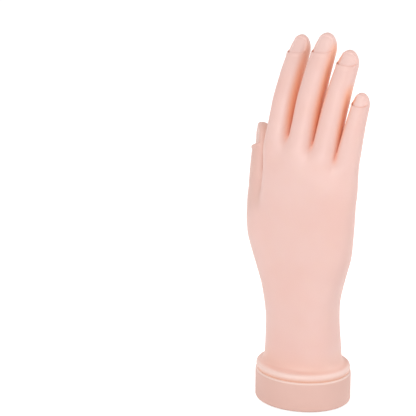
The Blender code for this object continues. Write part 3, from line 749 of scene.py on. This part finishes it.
def bend_across(piece, line, i):
    """Bakes a piece's place into its mesh; where it would turn across one bend is worked out but not used."""
    start, end = (Vector(line.frame_at(np.array(s))[0] * MM) for s in line.finger.turns[i])
    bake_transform(piece)


def add_palm(surface):
    """The palm, wrist and foot flange."""
    piece = add_piece("palm_and_wrist_skin", palm_mesh(), surface)
    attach(piece, "hand")
    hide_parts("palm_skin")


def add_wires(surface):
    """The wires, parted where the skin is, a length for each finger piece."""
    for finger in FINGERS:
        line = LINES[finger.name]
        node = f"{finger.name}_wire"
        cuts = [None, *finger.seams[1:], None]
        for i, part in enumerate(finger.parts):
            bm = bmesh.new()
            bm.from_mesh(frame["nodes"][node].data)
            bmesh.ops.remove_doubles(bm, verts=bm.verts, dist=WELD * MM)
            for s, outward in ((cuts[i], -1), (cuts[i + 1], 1)):
                if s is not None:
                    place, along, _ = line.frame_at(np.array(s))
                    cut_off(bm, place * MM, along * outward)
            close_holes(bm)
            bmesh.ops.scale(bm, vec=(1 / MM,) * 3, verts=bm.verts)
            piece = add_piece(f"{finger.name}_wire_{part}", bm, surface)
            bend_across(piece, line, i)
            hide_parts(node)


# Materials

# Vinyl colours, among them painted shade and painted highlights
SKIN_ROSE = (0.86, 0.55, 0.49)
SKIN_PALE = (0.87, 0.585, 0.53)
SKIN_PEACH = (0.87, 0.585, 0.475)
# The flange's warmer tone, with painted warm shade in the groove at its foot and in the fillet above its ridge
FLANGE_TONE_AND_SHADE = (0.87, 0.50, 0.36)
# A painted highlight on the flange's ridge
PAINTED_RIDGE_HIGHLIGHT = (0.93, 0.69, 0.62)
# Painted warm shade and glow in the gaps between the fingers and in the nail slots
PAINTED_GAP_SHADE = (0.95, 0.42, 0.235)
# Painted shade on the thumb, most in its valley by the palm
PAINTED_THUMB_SHADE = (0.58, 0.33, 0.24)
NAIL_PINK = (0.89, 0.615, 0.56)
# Vinyl blotches, flecks, gloss and grain
BLOTCH_SIZE = 30.0
BLOTCH_STOPS = ((0.35, SKIN_ROSE), (0.65, SKIN_PALE))
FLECK_SIZE = 6.0
FLECK_STOPS = ((0.45, (0.0, 0.0, 0.0)), (0.75, (0.2, 0.2, 0.2)))
GLOSS_SIZE = 8.0
VINYL_ROUGHNESS = (0.36, 0.52)
VINYL_IOR = 1.45
DIMPLE_SIZE = 9.0
DIMPLE_SHARE = 4.0
GRAIN_SIZE = 0.45
GRAIN_STRENGTH = 0.3
GRAIN_DEPTH = 0.025
# Tints by height, as stops of (height, share): the flange's warmer tone with painted warm shade in its groove and
# fillet, and a painted highlight on its ridge
FLANGE_TONE_AND_SHADE_STOPS = ((20.2, 0.9), (21.2, 0.7), (22.4, 0.3), (24.0, 0.1), (25.6, 0.3), (29.0, 0.24), (38.0, 0.0))
RIDGE_HIGHLIGHT_STOPS = ((21.8, 0.0), (23.4, 0.8), (24.6, 0.8), (25.6, 0.0))
HEIGHT_TINTS = ((FLANGE_TONE_AND_SHADE_STOPS, FLANGE_TONE_AND_SHADE), (RIDGE_HIGHLIGHT_STOPS, PAINTED_RIDGE_HIGHLIGHT))
# Tints by a share that the mesh holds at its points: the nails' own colour, painted shade on the thumb, painted
# warm shade in the gaps
POINT_TINTS = (("nail", 0.7, NAIL_PINK), ("dusk", 0.62, PAINTED_THUMB_SHADE), ("gap", 0.8, PAINTED_GAP_SHADE))


class Finish(NamedTuple):
    """A moulded, foamed or plated finish: two colours, blotch and grain sizes, roughness and metal."""

    name: str
    dark: tuple
    light: tuple
    blotch: float
    roughness: tuple
    grain: float
    grain_depth: float
    metallic: float = 0.0


FINISH_STOPS = (0.3, 0.7)
FINISH_GRAIN_STRENGTH = 0.25
# Finishes of the CAD pieces that stay, by their record slot
CAD_FINISHES = {
    "plate": Finish("plate_moulding", (0.62, 0.43, 0.36), (0.66, 0.47, 0.40), 20.0, (0.5, 0.65), 0.4, 0.02),
    "pad": Finish("pad_foam_rubber", (0.015, 0.015, 0.015), (0.03, 0.03, 0.03), 3.0, (0.75, 0.9), 0.6, 0.08),
    "core": Finish("natural_moulding", (0.72, 0.69, 0.60), (0.77, 0.74, 0.66), 15.0, (0.4, 0.55), 0.5, 0.02),
    "foam": Finish("open_foam", (0.70, 0.60, 0.36), (0.80, 0.70, 0.45), 4.0, (0.85, 0.95), 1.2, 0.4),
    "steel": Finish("zinc_plate", (0.50, 0.51, 0.53), (0.58, 0.59, 0.60), 4.0, (0.25, 0.4), 0.3, 0.01, 1.0),
    "brass": Finish("turned_brass", (0.60, 0.40, 0.13), (0.68, 0.47, 0.17), 4.0, (0.2, 0.35), 0.3, 0.01,
                    1.0),
}
WIRE_FINISH = Finish("drawn_wire", (0.60, 0.61, 0.63), (0.68, 0.69, 0.71), 4.0, (0.3, 0.45), 0.3, 0.01, 1.0)
DRUM_FINISH = Finish("drum_moulding", (0.77, 0.485, 0.415), (0.80, 0.515, 0.445), 25.0, (0.5, 0.62), 0.35,
                     0.02)
# A highlight painted on the drum's upper rim, by height
PAINTED_RIM_HIGHLIGHT = (0.88, 0.66, 0.59)
RIM_HIGHLIGHT_STOPS = ((19.0, 0.0), (19.6, 1.0), (20.4, 1.0))


def new_material(name):
    """An empty procedural material with its shader."""
    made = bpy.data.materials.new(name)
    made.use_nodes = True
    return made, made.node_tree, made.node_tree.nodes["Principled BSDF"]


def noise(tree, size, detail=3.0):
    """A noise whose grains are about a size, fixed to the piece."""
    place = tree.nodes.new("ShaderNodeTexCoord")
    made = tree.nodes.new("ShaderNodeTexNoise")
    made.inputs["Scale"].default_value = 1 / (size * MM)
    made.inputs["Detail"].default_value = detail
    tree.links.new(place.outputs["Object"], made.inputs["Vector"])
    return made.outputs["Fac"]


def ramp(tree, source, stops):
    """Colours by a value, between stops of (place, colour)."""
    made = tree.nodes.new("ShaderNodeValToRGB")
    tree.links.new(source, made.inputs["Fac"])
    elements = made.color_ramp.elements
    elements[0].position, elements[1].position = stops[0][0], stops[-1][0]
    for place, _ in stops[1:-1]:
        elements.new(place)
    for place, colour in stops:
        nearest = min(elements, key=lambda element: abs(element.position - place))
        nearest.color = (*colour, 1.0)
    return made.outputs["Color"]


def span(tree, source, low, high):
    """A value carried from 0..1 to another span."""
    made = tree.nodes.new("ShaderNodeMapRange")
    made.inputs["To Min"].default_value = low
    made.inputs["To Max"].default_value = high
    tree.links.new(source, made.inputs["Value"])
    return made.outputs["Result"]


def bump(tree, shader, source, strength, depth):
    """Fine relief on a surface."""
    made = tree.nodes.new("ShaderNodeBump")
    made.inputs["Strength"].default_value = strength
    made.inputs["Distance"].default_value = depth * MM
    tree.links.new(source, made.inputs["Height"])
    tree.links.new(made.outputs["Normal"], shader.inputs["Normal"])


def mottled(finish):
    """A finish with soft blotches of colour, uneven gloss and a fine grain."""
    made, tree, shader = new_material(finish.name)
    stops = tuple(zip(FINISH_STOPS, (finish.dark, finish.light)))
    tree.links.new(ramp(tree, noise(tree, finish.blotch, 2.0), stops), shader.inputs["Base Color"])
    gloss = span(tree, noise(tree, finish.blotch / 4), *finish.roughness)
    tree.links.new(gloss, shader.inputs["Roughness"])
    bump(tree, shader, noise(tree, finish.grain), FINISH_GRAIN_STRENGTH, finish.grain_depth)
    shader.inputs["Metallic"].default_value = finish.metallic
    return made


def blend_colours(tree, share, first, second):
    """One colour carried to another by a share."""
    made = tree.nodes.new("ShaderNodeMix")
    made.data_type = 'RGBA'
    tree.links.new(share, made.inputs["Factor"])
    for socket, colour in ((made.inputs["A"], first), (made.inputs["B"], second)):
        if isinstance(colour, tuple):
            socket.default_value = (*colour, 1.0)
        else:
            tree.links.new(colour, socket)
    return made.outputs["Result"]


def point_share(tree, name, most):
    """A share that the mesh holds at its points, up to the most it may reach."""
    made = tree.nodes.new("ShaderNodeAttribute")
    made.attribute_name = name
    return span(tree, made.outputs["Fac"], 0.0, most)


def height_share(tree, stops):
    """A share by height, between stops of (millimetres, share)."""
    place = tree.nodes.new("ShaderNodeTexCoord")
    parts = tree.nodes.new("ShaderNodeSeparateXYZ")
    made = tree.nodes.new("ShaderNodeMapRange")
    low, high = stops[0][0], stops[-1][0]
    made.inputs["From Min"].default_value = low * MM
    made.inputs["From Max"].default_value = high * MM
    tree.links.new(place.outputs["Object"], parts.inputs["Vector"])
    tree.links.new(parts.outputs["Z"], made.inputs["Value"])
    shares = [((z - low) / (high - low), (share,) * 3) for z, share in stops]
    return ramp(tree, made.outputs["Result"], shares)


def skin_material():
    """Soft pinkish vinyl with a satin gloss, warmer on the foot flange, own-tinted nails, painted shade in the
    gaps, on the thumb and flange, painted highlights.
    """
    made, tree, shader = new_material("soft_vinyl")
    mixed = ramp(tree, noise(tree, BLOTCH_SIZE, 2.0), BLOTCH_STOPS)
    mixed = blend_colours(tree, ramp(tree, noise(tree, FLECK_SIZE, 4.0), FLECK_STOPS), mixed, SKIN_PEACH)
    # The flange's warmer tone with painted shade, and a painted highlight on its ridge
    for stops, colour in HEIGHT_TINTS:
        mixed = blend_colours(tree, height_share(tree, stops), mixed, colour)
    # The nails' own colour, painted shade on the thumb and painted warm shade in the gaps
    for name, most, colour in POINT_TINTS:
        mixed = blend_colours(tree, point_share(tree, name, most), mixed, colour)
    tree.links.new(mixed, shader.inputs["Base Color"])
    tree.links.new(span(tree, noise(tree, GLOSS_SIZE), *VINYL_ROUGHNESS), shader.inputs["Roughness"])
    relief = tree.nodes.new("ShaderNodeMath")
    relief.operation = 'MULTIPLY_ADD'
    tree.links.new(noise(tree, DIMPLE_SIZE, 2.0), relief.inputs[0])
    relief.inputs[1].default_value = DIMPLE_SHARE
    tree.links.new(noise(tree, GRAIN_SIZE), relief.inputs[2])
    bump(tree, shader, relief.outputs["Value"], GRAIN_STRENGTH, GRAIN_DEPTH)
    shader.inputs["IOR"].default_value = VINYL_IOR
    return made


def drum_material():
    """The drum's more matt moulding, with a highlight painted on its upper rim."""
    made = mottled(DRUM_FINISH)
    tree = made.node_tree
    colour = tree.nodes["Principled BSDF"].inputs["Base Color"]
    mixed = blend_colours(tree, height_share(tree, RIM_HIGHLIGHT_STOPS), colour.links[0].from_socket, PAINTED_RIM_HIGHLIGHT)
    tree.links.new(mixed, colour)
    return made


def dress_cad():
    """Finishes for the CAD pieces that stay, by their record slot."""
    finishes = {slot: mottled(finish) for slot, finish in CAD_FINISHES.items()}
    slots = {row["node"]: row["material_slot"] for row in frame["record"]["subparts"]}
    for name, node in frame["nodes"].items():
        if slots[name] in finishes:
            node.data.materials.clear()
            node.data.materials.append(finishes[slots[name]])


# Drum

DRUM_HALF = (31.75, 28.75)
DRUM_SIDES = 128
# The drum's outside from its foot up to its deck, as insets and heights
DRUM_OUTSIDE = ((1.6, 0.6), (0.8, 0.7), (0.3, 1.05), (0.06, 1.6), (0.0, 2.4), (0.0, 10.0), (0.0, 17.6),
                (0.0, 18.8), (0.1, 19.4), (0.4, 19.9), (0.95, 20.2), (2.0, 20.2))
DRUM_WALL = 2.4
DECK_UNDERSIDE = 17.2
DECK_TOP = 20.2
BOLT_HOLE = 3.3


def oval(half_width, half_depth, z):
    """A ring of points round the base at a height."""
    turn = np.linspace(0, 2 * math.pi, DRUM_SIDES, endpoint=False)
    return np.stack([half_width * np.cos(turn), half_depth * np.sin(turn), np.full(DRUM_SIDES, z)], axis=1)


def add_drum(surface):
    """The drum: one turned wall with a deck and the hole for its bolt."""
    inner = [DRUM_HALF[0] - DRUM_WALL, DRUM_HALF[1] - DRUM_WALL]
    rings = [oval(BOLT_HOLE, BOLT_HOLE, DECK_TOP), oval(BOLT_HOLE, BOLT_HOLE, DECK_UNDERSIDE),
             oval(*inner, DECK_UNDERSIDE), oval(*inner, DRUM_OUTSIDE[0][1])]
    rings += [oval(DRUM_HALF[0] - inset, DRUM_HALF[1] - inset, z) for inset, z in DRUM_OUTSIDE]
    bm = bmesh.new()
    rows = [[bm.verts.new(point) for point in ring] for ring in rings]
    for low, high in zip(rows, rows[1:] + rows[:1]):
        join_rings(bm, low, high)
    piece = add_piece("drum_shell", bm, surface)
    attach(piece, "hand")
    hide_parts("base_drum")


# Stage

WHITE = (1.0, 1.0, 1.0, 1.0)
SURROUND = 0.495
# The floor: its half size in metres, colour, roughness and the glow that camera and mirror rays meet
FLOOR_HALF = 6.0
FLOOR_GREY = (0.8, 0.8, 0.8, 1.0)
FLOOR_ROUGHNESS = 0.8
FLOOR_GLOW = 0.64
FLOOR_RAYS = ("Is Camera Ray", "Is Glossy Ray", "Is Transmission Ray")
# Soft square lights: name, place in metres and power. They face the middle of the hand.
LIGHTS = (
    ("key", (-0.1, -1.45, 0.95), 12.8),
    ("fill", (1.4, 0.1, 0.7), 6.6),
    ("back", (0.7, 1.35, 0.8), 4.5),
    ("side", (-1.25, 0.85, 0.8), 3.6),
)
LIGHT_SIZE = 0.9
LIGHT_AIM = Vector((0, 0, 0.12))


def add_camera():
    """The photo's view, turned about the base."""
    turn, pitch = math.radians(CAMERA_TURN), math.radians(CAMERA_PITCH)
    right = Vector((math.cos(turn), math.sin(turn), 0))
    ahead = Vector((-math.sin(turn) * math.cos(pitch), math.cos(turn) * math.cos(pitch), -math.sin(pitch)))
    down = ahead.cross(right)
    x, y, depth = CAMERA_TO_BASE
    data = bpy.data.cameras.new("camera")
    data.sensor_width = SENSOR_WIDTH
    data.lens = FOCAL_PIXELS / IMAGE_SIZE * SENSOR_WIDTH
    camera = bpy.data.objects.new("camera", data)
    camera.location = -(right * x + down * y + ahead * depth) * MM
    camera.rotation_mode = 'QUATERNION'
    camera.rotation_quaternion = ahead.to_track_quat('-Z', 'Y')
    bpy.context.scene.collection.objects.link(camera)
    bpy.context.scene.camera = camera


def add_light(name, place, power):
    """A square soft light facing the hand."""
    data = bpy.data.lights.new(name, 'AREA')
    data.size = LIGHT_SIZE
    data.energy = power
    lamp = bpy.data.objects.new(name, data)
    lamp.location = place
    lamp.rotation_mode = 'QUATERNION'
    lamp.rotation_quaternion = (LIGHT_AIM - Vector(place)).to_track_quat('-Z', 'Y')
    bpy.context.scene.collection.objects.link(lamp)


def combine(tree, operation, first, second):
    """A sum, product or other joining of two values."""
    made = tree.nodes.new("ShaderNodeMath")
    made.operation = operation
    tree.links.new(first, made.inputs[0])
    if isinstance(second, float):
        made.inputs[1].default_value = second
    else:
        tree.links.new(second, made.inputs[1])
    return made.outputs["Value"]


def floor_material():
    """A white floor that keeps the object's shadow."""
    made, tree, shader = new_material("floor_white")
    shader.inputs["Base Color"].default_value = FLOOR_GREY
    shader.inputs["Roughness"].default_value = FLOOR_ROUGHNESS
    shader.inputs["Specular IOR Level"].default_value = 0.0
    path = tree.nodes.new("ShaderNodeLightPath")
    seen = path.outputs[FLOOR_RAYS[0]]
    for kind in FLOOR_RAYS[1:]:
        seen = combine(tree, 'MAXIMUM', seen, path.outputs[kind])
    glow = tree.nodes.new("ShaderNodeEmission")
    tree.links.new(combine(tree, 'MULTIPLY', seen, FLOOR_GLOW), glow.inputs["Strength"])
    both = tree.nodes.new("ShaderNodeAddShader")
    tree.links.new(shader.outputs["BSDF"], both.inputs[0])
    tree.links.new(glow.outputs["Emission"], both.inputs[1])
    tree.links.new(both.outputs["Shader"], tree.nodes["Material Output"].inputs["Surface"])
    return made


def add_stage():
    """A white floor, an even surround and soft lights."""
    bm = bmesh.new()
    bmesh.ops.create_grid(bm, x_segments=1, y_segments=1, size=FLOOR_HALF)
    mesh = bpy.data.meshes.new("floor")
    bm.to_mesh(mesh)
    bm.free()
    mesh.materials.append(floor_material())
    floor = bpy.data.objects.new("floor", mesh)
    bpy.context.scene.collection.objects.link(floor)

    world = bpy.data.worlds.new("surround")
    world.use_nodes = True
    world.node_tree.nodes["Background"].inputs["Color"].default_value = WHITE
    world.node_tree.nodes["Background"].inputs["Strength"].default_value = SURROUND
    bpy.context.scene.world = world
    for light in LIGHTS:
        add_light(*light)
    bpy.context.scene.view_settings.view_transform = 'Standard'


def main():
    """Every piece, then the stage."""
    add_camera()
    skin = skin_material()
    add_palm(skin)
    add_fingers(skin)
    add_wires(mottled(WIRE_FINISH))
    add_drum(drum_material())
    dress_cad()
    add_stage()


main()
